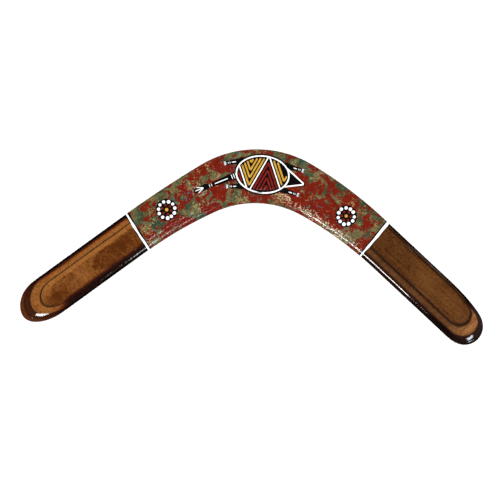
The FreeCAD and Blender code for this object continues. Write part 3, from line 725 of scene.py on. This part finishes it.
def closed_coat(sheet, name, material, nodes):
    """Gives a sheet of paint its thickness and makes it a piece."""
    sheet.normal_update()
    outer = list(sheet.verts)
    faces = list(sheet.faces)
    rim = [e for e in sheet.edges if e.is_boundary]
    under = {v: sheet.verts.new(v.co - v.normal * (COAT + 0.03)) for v in outer}
    for vertex in under.values():
        vertex.co.z = max(vertex.co.z, cad_box[0].z / MM + 0.3)
    for face in faces:
        sheet.faces.new([under[v] for v in reversed(face.verts)])
    for edge in rim:
        loop = edge.link_loops[0]
        a, b = loop.vert, loop.link_loop_next.vert
        sheet.faces.new((b, a, under[a], under[b]))
        edge.smooth = False
    mesh = bpy.data.meshes.new(name)
    bmesh.ops.scale(sheet, vec=(MM, MM, MM), verts=sheet.verts)
    sheet.to_mesh(mesh)
    sheet.free()
    return add_piece(name, mesh, material, nodes)


def build_coats(black, white):
    centre = SHEET.copy()
    for side in BAND_EDGES:
        cut_along(centre, side, 0, keep_beyond=False)
    closed_coat(centre, "base_coat", sponged_red(), ["base_coat"])
    for side in BAND_EDGES:
        for count, part in enumerate(BAND_PARTS):
            strip = SHEET.copy()
            cut_along(strip, side, count, keep_beyond=True)
            cut_along(strip, side, count + 1, keep_beyond=False)
            name = f"{part}_{side}"
            material, slot = (white, "paint_white") if part == "white_band" else (black, "paint_black")
            closed_coat(strip, name, material, [name])


# ---------------------------------------------------------------- strokes and dots


class Brush:
    """Collects raised strokes and dots of one colour into a single piece."""

    def __init__(self, lift, height):
        self.vertices, self.faces = [], []
        self.lift, self.height = lift, height

    def put(self, x, y, rise):
        self.vertices.append((x, y, surface_height(x, y) + self.lift + rise))

    def dot(self, x, y, radius, rings=5, sides=22, uneven=0.05):
        """A round blob that bulges in the middle, its edge a little uneven."""
        seed = rng.random() * 50
        rim = []
        for side in range(sides):
            way = unit(2 * math.pi * side / sides)
            rim.append(way * radius * (1 + uneven * 2 * noise.noise(Vector((*way, seed)))))
        self.dome((x, y), np.array(rim), rings, 4)

    def dome(self, centre, rim, rings, power):
        """A low dome out to a rim of offsets from its centre, the flatter the higher the power."""
        first, sides = len(self.vertices), len(rim)
        self.put(*centre, self.height)
        for ring in range(1, rings + 1):
            share = ring / rings
            for x, y in centre + rim * share:
                self.put(x, y, self.height * math.sqrt(1 - share**power))
        for side in range(sides):
            self.faces.append((first, first + 1 + side, first + 1 + (side + 1) % sides))
        for ring in range(rings - 1):
            inner, outer = first + 1 + ring * sides, first + 1 + (ring + 1) * sides
            for side in range(sides):
                after = (side + 1) % sides
                self.faces.append((inner + side, outer + side, outer + after, inner + after))
        self.faces.append(tuple(first + 1 + (rings - 1) * sides + s for s in reversed(range(sides))))

    def stroke(self, path, widths, closed=False, uneven=0.08):
        """A raised ribbon along a path of 2-D points, with a width at each."""
        path = np.asarray(path, float)
        seed = rng.random() * 50
        if closed:
            ahead = np.roll(path, -1, axis=0) - np.roll(path, 1, axis=0)
        else:
            ahead = np.gradient(path, axis=0)
        ahead /= np.linalg.norm(ahead, axis=1)[:, None]
        side = np.column_stack((-ahead[:, 1], ahead[:, 0]))
        spots = (-1, -0.86, -0.5, 0, 0.5, 0.86, 1)
        first = len(self.vertices)
        for count, (point, across, width) in enumerate(zip(path, side, widths)):
            wobble = noise.noise(Vector((point[0] * 0.5, point[1] * 0.5, seed)))
            wide = width / 2 * (1 + uneven * 2 * wobble)
            for spot in spots:
                x, y = point + across * wide * spot
                self.put(x, y, self.height * math.sqrt(max(0.0, 1 - spot**4)) * min(1.0, width / 0.5))
        count, across = len(path), len(spots)
        for this in range(count if closed else count - 1):
            a, b = first + this * across, first + (this + 1) % count * across
            for spot in range(across):
                after = (spot + 1) % across
                self.faces.append((a + spot, b + spot, b + after, a + after))
        if not closed:
            self.faces.append(tuple(first + s for s in range(across)))
            self.faces.append(tuple(first + (count - 1) * across + s for s in reversed(range(across))))

    def finish(self, name, material):
        return add_object(name, self.vertices, self.faces, material, [name])


def resample(path, spacing=0.6):
    """Evenly spaced points along a polyline."""
    path = np.asarray(path, float)
    lengths = np.concatenate(([0], np.cumsum(np.linalg.norm(np.diff(path, axis=0), axis=1))))
    count = max(4, round(lengths[-1] / spacing))
    at = np.linspace(0, lengths[-1], count)
    return np.column_stack([np.interp(at, lengths, path[:, axis]) for axis in (0, 1)]), at, lengths[-1]


def line(brush, path, width, **more):
    """A stroke of one width with round ends."""
    points, at, length = resample(path)
    end = np.minimum(at, length - at)
    round_end = np.sqrt(np.clip(1 - (1 - np.clip(end / (width / 2), 0, 1)) ** 2, 0.02, 1))
    brush.stroke(points, width * round_end, **more)


def limb_shape(brush, start, turn, length, root, tip):
    """A tapered limb between two end circles."""
    along = unit(turn)
    count = 40
    at = np.linspace(-root, length + tip, count)
    share = np.clip(at / length, 0, 1)
    radius = root + (tip - root) * share
    beyond = np.where(at < 0, -at / root, np.where(at > length, (at - length) / tip, 0))
    widths = 2 * radius * np.sqrt(np.clip(1 - beyond**2, 0.004, 1))
    brush.stroke([np.asarray(start) + along * a for a in at], widths, uneven=0.04)


# The turtle, in millimetres about its shell's centre, head towards -X.
SHELL_CENTRE = np.array((1.91, 59.95))
SHELL_TILT = math.radians(-2.5)
SHELL_LONG, SHELL_SHORT = 23.6, 16.7
RIM, LINE = 1.5, 1.3
ZIGZAG_LEFT, ZIGZAG_STEP = -26.0, 15.0
STRIPE, STRIPE_GAP = 1.7, 1.0
STRIPES = (1, 4, 4, 2)
LIMBS = {      # start, turn in degrees, length between end circles, the two end radii
    "neck": ((-21.0, -2.0), 208, 28.0, 3.6, 1.7),
    "head": ((-48.0, -16.0), 208, 9.0, 2.9, 2.3),
    "front_high": ((-17.5, 10.5), 195, 16.5, 3.0, 1.5),
    "front_low": ((-16.0, -12.0), 187, 13.5, 2.8, 1.5),
    "back_high": ((20.0, 9.5), -10, 14.5, 3.0, 1.5),
    "back_low": ((18.0, -11.5), -12, 14.5, 2.8, 1.5),
}
TAIL = ((14.0, 0.0), -12, 22.5, 10.5, 1.5)


def on_board(points):
    """Turtle coordinates to the board's."""
    c, s = math.cos(SHELL_TILT), math.sin(SHELL_TILT)
    points = np.asarray(points, float)
    return points @ np.array(((c, s), (-s, c))) + SHELL_CENTRE


def ellipse_points(trim, count=120):
    angles = np.linspace(0, 2 * math.pi, count, endpoint=False)
    return np.column_stack(((SHELL_LONG - trim) * np.cos(angles), (SHELL_SHORT - trim) * np.sin(angles)))


def inside_shell(points, trim):
    return (points[:, 0] / (SHELL_LONG - trim)) ** 2 + (points[:, 1] / (SHELL_SHORT - trim)) ** 2 < 1


def runs_inside(points, trim):
    """The stretches of a path that lie inside the trimmed shell."""
    run, runs = [], []
    for point, good in zip(points, inside_shell(points, trim)):
        if good:
            run.append(point)
        elif run:
            runs.append(run)
            run = []
    return [r for r in runs + [run] if len(r) > 4]


def chevron_path(corner, offset):
    """The middle of a V-shaped stripe in one corner of the zigzag, this far from its sides."""
    x = ZIGZAG_LEFT + corner * ZIGZAG_STEP
    flip = 1 if corner % 2 else -1
    lean = math.atan2(ZIGZAG_STEP, 2 * SHELL_SHORT)
    apex = offset / math.sin(lean) - SHELL_SHORT
    spread = (SHELL_SHORT + 2 - apex) * math.tan(lean)
    top = SHELL_SHORT + 2
    path = [(x - spread, flip * top), (x, flip * apex), (x + spread, flip * top)]
    points = resample(path, 0.5)[0]
    for _ in range(2):
        points[1:-1] = (points[:-2] + 2 * points[1:-1] + points[2:]) / 4
    return points


def build_turtle(black, white, ochre, red):
    ground = Brush(-0.02, 0.10)
    ground.dome(SHELL_CENTRE, on_board(ellipse_points(-RIM, 96)) - SHELL_CENTRE, 40, 12)
    for start, turn, length, root, tip in [*LIMBS.values(), (*TAIL[:3], TAIL[3] + 0.6, TAIL[4] + 0.6)]:
        limb_shape(ground, on_board([start])[0], math.radians(turn) + SHELL_TILT, length, root, tip)
    ground.finish("turtle_ground", black)

    lines = Brush(0.07, 0.13)
    ring = on_board(ellipse_points(LINE / 2, 150))
    lines.stroke(ring, np.full(len(ring), LINE), closed=True, uneven=0.12)
    for corner in (1, 3):
        for run in runs_inside(chevron_path(corner, 0.0), LINE * 0.6):
            line(lines, on_board(run), LINE * 0.9)
    start, turn, length, root, tip = TAIL
    lean = math.asin((root - tip) / length)
    for flip in (1, -1):
        reach = root - LINE / 2
        a = start + unit(math.radians(turn) + flip * (math.pi / 2 - lean)) * reach
        b = start + unit(math.radians(turn + 0.6 * flip)) * (length + 0.6)
        path = [p for p in resample([a, b], 0.5)[0] if not inside_shell(np.array([p]), 0.5)[0]]
        line(lines, on_board(path), LINE)
    for name, (start, turn, length, root, tip) in LIMBS.items():
        way = unit(math.radians(turn))
        if name == "head":
            head_marks(lines, np.array(start), way, length)
            continue
        dash = (0.35, 0.8) if name == "neck" else (0.42, 0.66)
        a, b = (np.array(start) + way * length * share for share in dash)
        line(lines, on_board([a, b]), 0.9)
        if name == "neck":
            cross_marks(lines, start, way, length, (0.08, 0.15, 0.22), 2.3)
            cross_marks(lines, start, way, length, (0.90, 0.97), 1.4)
        else:
            cross_marks(lines, start, way, length, (0.75, 0.84), 0.9)
            side = np.array((-way[1], way[0]))
            for spot in (-1, 0, 1):
                a = np.array(start) + way * length * 0.94 + side * spot * 0.8
                b = np.array(start) + way * (length + 1.3) + side * spot * 1.4
                line(lines, on_board([a, b]), 0.75)
    lines.finish("turtle_white_lines", white)

    for colour, material, corners in (("ochre", ochre, (1, 3)), ("red", red, (0, 2))):
        brush = Brush(0.04, 0.13)
        for corner in corners:
            for count in range(STRIPES[corner]):
                offset = LINE / 2 + STRIPE_GAP + STRIPE / 2 + count * (STRIPE + STRIPE_GAP)
                for run in runs_inside(chevron_path(corner, offset), LINE + 0.9):
                    line(brush, on_board(run), STRIPE)
        brush.finish(f"turtle_{colour}_stripes", material)


def cross_marks(brush, start, way, length, shares, reach):
    """Short strokes across a limb."""
    side = np.array((-way[1], way[0]))
    for share in shares:
        middle = np.array(start) + way * length * share
        line(brush, on_board([middle - side * reach, middle + side * reach]), 0.6)


def head_marks(brush, start, way, length):
    """A small fan of strokes that opens from the neck over the head."""
    for spread in (-24, 0, 24):
        turn = math.atan2(way[1], way[0]) + math.radians(spread)
        far = length + (1.4 if spread == 0 else 0)
        line(brush, on_board([start + way * 2.2, start + way * 2.2 + unit(turn) * (far - 2.5)]), 0.8)


def build_rosettes(black, white, ochre, red):
    for side in ("left", "right"):
        low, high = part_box(f"rosette_ground_{side}")
        x, y = ((low + high) / 2 / MM).xy
        radius = (high.x - low.x) / 2 / MM
        ground = Brush(-0.02, 0.10)
        ground.dot(x, y, radius * 1.04, rings=14, sides=80, uneven=0.015)
        ground.finish(f"rosette_ground_{side}", black)
        for colour, count, ring, size, material in (
                ("white_dots", 11, 0.755, 0.172, white), ("red_dots", 6, 0.42, 0.128, red),
                ("ochre_dot", 1, 0.0, 0.160, ochre)):
            brush = Brush(0.02, 0.16)
            spin = rng.random()
            for place in range(count):
                angle = 2 * math.pi * (place + spin + rng.uniform(-0.08, 0.08)) / count
                reach = radius * ring * rng.uniform(0.97, 1.03)
                brush.dot(x + reach * math.cos(angle), y + reach * math.sin(angle),
                          radius * size * rng.uniform(0.88, 1.12))
            brush.finish(f"rosette_{colour}_{side}", material)


# ---------------------------------------------------------------- studio


def build_studio():
    floor_mesh = bpy.data.meshes.new("floor")
    half = 3.0
    floor_mesh.from_pydata([(-half, -half, 0), (half, -half, 0), (half, half, 0), (-half, half, 0)],
                           [], [(0, 1, 2, 3)])
    floor = bpy.data.objects.new("floor", floor_mesh)
    bpy.context.scene.collection.objects.link(floor)
    floor.location.z = cad_box[0].z - 0.0002
    floor.visible_glossy = False
    s = Shader("floor_card", roughness=0.9, coat=0.0, specular=0.1)
    s.colour(s.steps(s.noise(60, 2), (0.0, 0.93), (1.0, 0.95)))
    floor_mesh.materials.append(s.material)

    def panel(name, place, size, power, glossy, aim=(0, 0, 0), colour=(1, 1, 1)):
        light = bpy.data.lights.new(name, "AREA")
        light.shape = "RECTANGLE"
        light.size, light.size_y = size
        light.energy = power
        light.color = colour
        lamp = bpy.data.objects.new(name, light)
        bpy.context.scene.collection.objects.link(lamp)
        lamp.location = place
        lamp.rotation_mode = "QUATERNION"
        lamp.rotation_quaternion = (Vector(aim) - Vector(place)).to_track_quat("-Z", "Y")
        lamp.visible_glossy = glossy
        lamp.visible_diffuse = not glossy

    panel("strip_left", (-0.262, -0.456, 0.66), (0.22, 0.06), 1.6, True, (-0.10, -0.26, 0))
    panel("strip_right", (0.88, -1.06, 1.70), (0.39, 0.30), 7.3, True, colour=(0.82, 0.93, 1.0))
    panel("glint_back", (0.471, 0.325, 0.13), (0.03, 0.03), 0.012, True, (0.14, -0.02, 0))
    panel("overhead", (0.0, 0.0, 2.2), (2.2, 2.2), 36, False)
    world = bpy.data.worlds.new("studio")
    world.use_nodes = True
    world.node_tree.nodes["Background"].inputs["Color"].default_value = (1, 1, 1, 1)
    world.node_tree.nodes["Background"].inputs["Strength"].default_value = 1.1
    bpy.context.scene.world = world
    world.cycles_visibility.glossy = False
    bpy.context.scene.view_settings.view_transform = "Standard"


VIEW_WIDTH = 0.4375      # metres across the picture at the board
CAMERA_HEIGHT = 1.7
CAMERA_ROLL = math.radians(3.58)
CAMERA_AIM = (-0.0050, -0.0065)


def build_camera():
    data = bpy.data.cameras.new("camera")
    data.sensor_width = 36
    data.lens = data.sensor_width * CAMERA_HEIGHT / VIEW_WIDTH
    camera = bpy.data.objects.new("camera", data)
    bpy.context.scene.collection.objects.link(camera)
    camera.location = (*CAMERA_AIM, CAMERA_HEIGHT)
    camera.rotation_euler = (0, 0, CAMERA_ROLL)
    bpy.context.scene.camera = camera


build_board()
paint_black = brushed_paint("paint_black", (0.0045, 0.0040, 0.0040), (0.002, 0.002, 0.002))
paint_white = brushed_paint("paint_white", (0.88, 0.88, 0.87), (0.78, 0.79, 0.80))
paint_ochre = brushed_paint("paint_ochre", (0.52, 0.30, 0.046), (0.38, 0.20, 0.022))
paint_red = brushed_paint("paint_red", (0.18, 0.013, 0.008), (0.115, 0.006, 0.004))
build_coats(paint_black, paint_white)
build_rosettes(paint_black, paint_white, paint_ochre, paint_red)
build_turtle(paint_black, paint_white, paint_ochre, paint_red)
build_studio()
build_camera()
